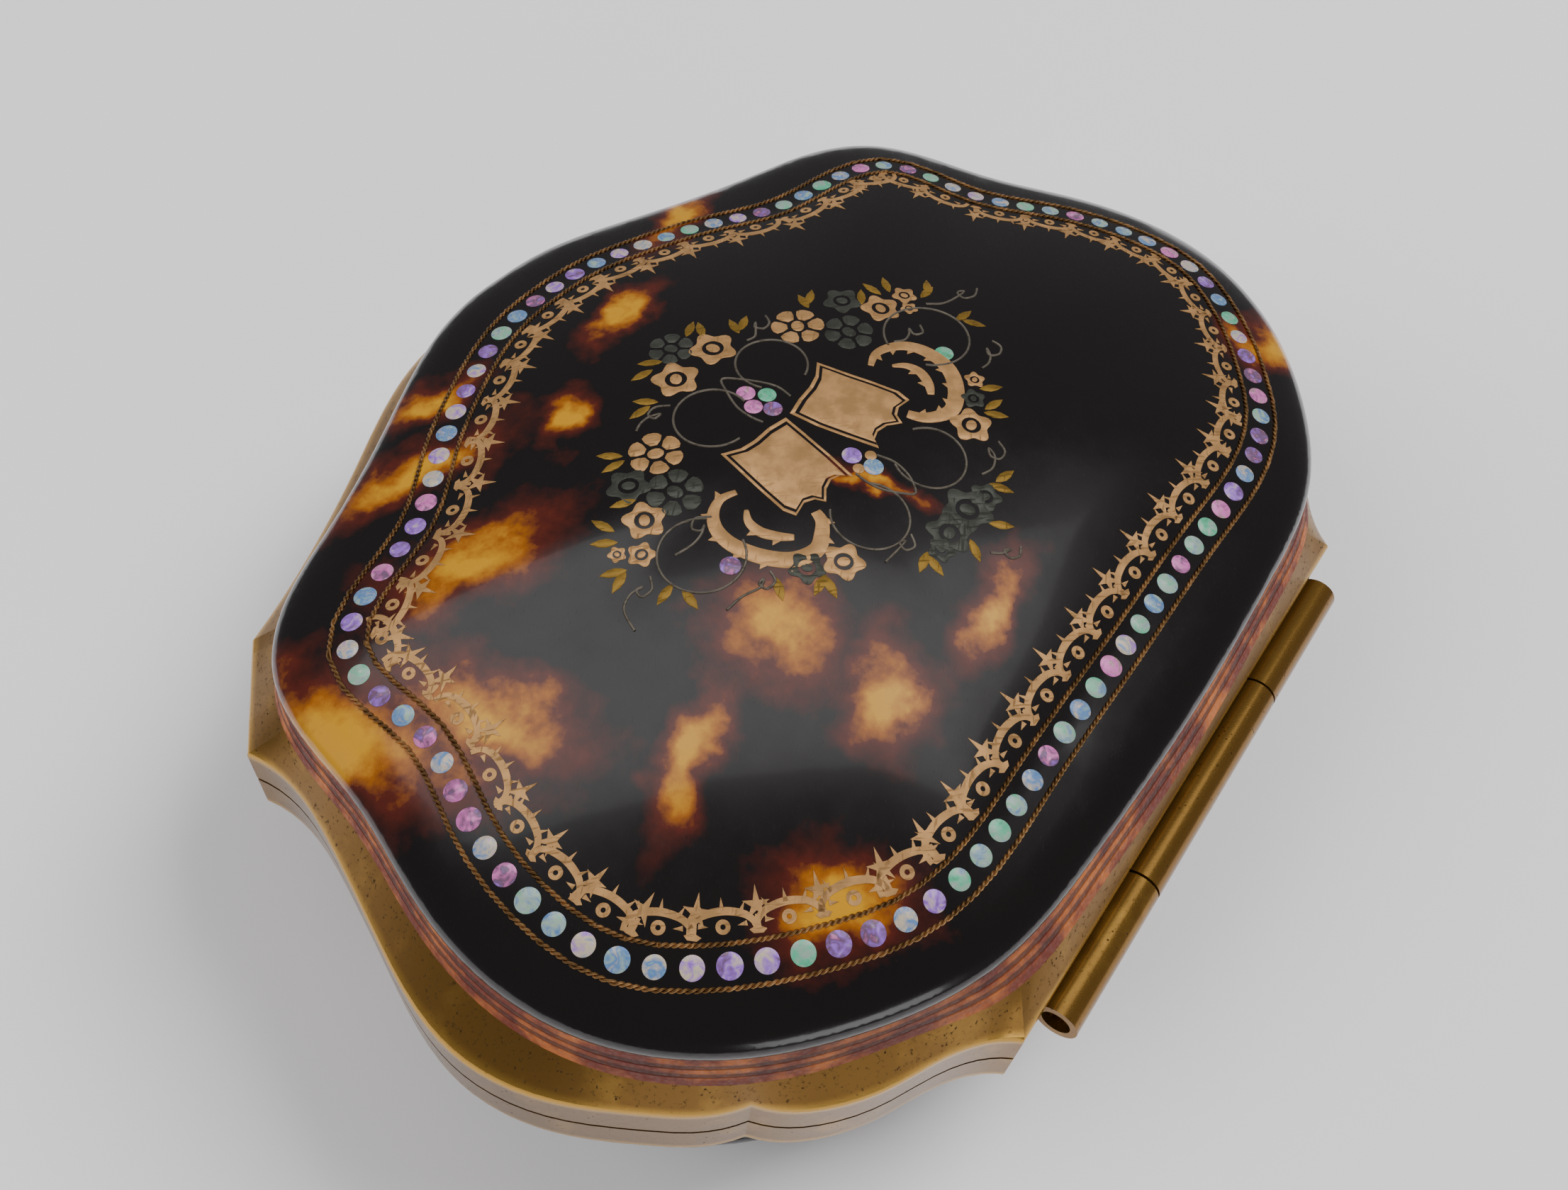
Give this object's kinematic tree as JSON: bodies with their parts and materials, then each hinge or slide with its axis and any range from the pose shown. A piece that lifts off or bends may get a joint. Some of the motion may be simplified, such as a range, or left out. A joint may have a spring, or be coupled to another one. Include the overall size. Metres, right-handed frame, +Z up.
{
  "type": "hinged trinket box",
  "caption": "Hinged trinket box with two domed tortoiseshell covers in brass rims, pearl and gold inlay on the lid, and a press catch at the front.",
  "frame": {"origin": "centre of the bounding box at the resting face under the base cover", "axes": "+X along the long way of the box, +Y towards the hinge, +Z up"},
  "size_m": [0.09, 0.071, 0.0297],
  "materials": {
    "rim_brass": "gilt, worn to an olive brown, polished on the shoulder",
    "tortoiseshell": "polished, dark brown with amber patches",
    "welt_leather": "red-brown, worn to orange",
    "board": "plain, hidden under the covers",
    "lining_leather": "soft, matt, dark red",
    "steel": "drawn",
    "pearl": "iridescent mother-of-pearl",
    "wire_gold": "twisted, darkened in the hollows",
    "inlay_gold": "engraved, rose gold",
    "inlay_pewter": "dull grey with a warm cast"
  },
  "bodies": {
    "lid": {"lid_rim": "rim_brass", "lid_shell": "tortoiseshell", "lid_welt": "welt_leather", "lid_board": "board", "lid_lining": "lining_leather", "catch_hook": "rim_brass", "pearl_dots": "pearl", "rope_outer": "wire_gold", "rope_inner": "wire_gold", "lace_border": "inlay_gold", "shield_right": "inlay_gold", "shield_left": "inlay_gold", "scroll_right": "inlay_gold", "scroll_left": "inlay_gold", "gold_flowers": "inlay_gold", "grey_flowers": "inlay_pewter", "gold_leaves": "inlay_gold", "silver_tendrils": "inlay_pewter", "spray_pearls": "pearl"},
    "base": {"base_rim": "rim_brass", "base_shell": "tortoiseshell", "base_welt": "welt_leather", "base_board": "board", "base_lining": "lining_leather", "hinge_pin": "steel", "catch_spring": "steel"},
    "push": {"push_piece": "rim_brass"}
  },
  "joints": [
    {"name": "lid_hinge", "type": "hinge", "parent": "base", "child": "lid", "pos_m": [0, 0.034, 0.016], "axis": [-1, 0, 0], "range_deg": [0, 105]},
    {"name": "push_press", "type": "slide", "parent": "base", "child": "push", "axis": [0, 1, 0], "range_m": [0, 0.0008], "stiffness_N_per_m": 1500, "deforming": ["catch_spring"]}
  ]
}
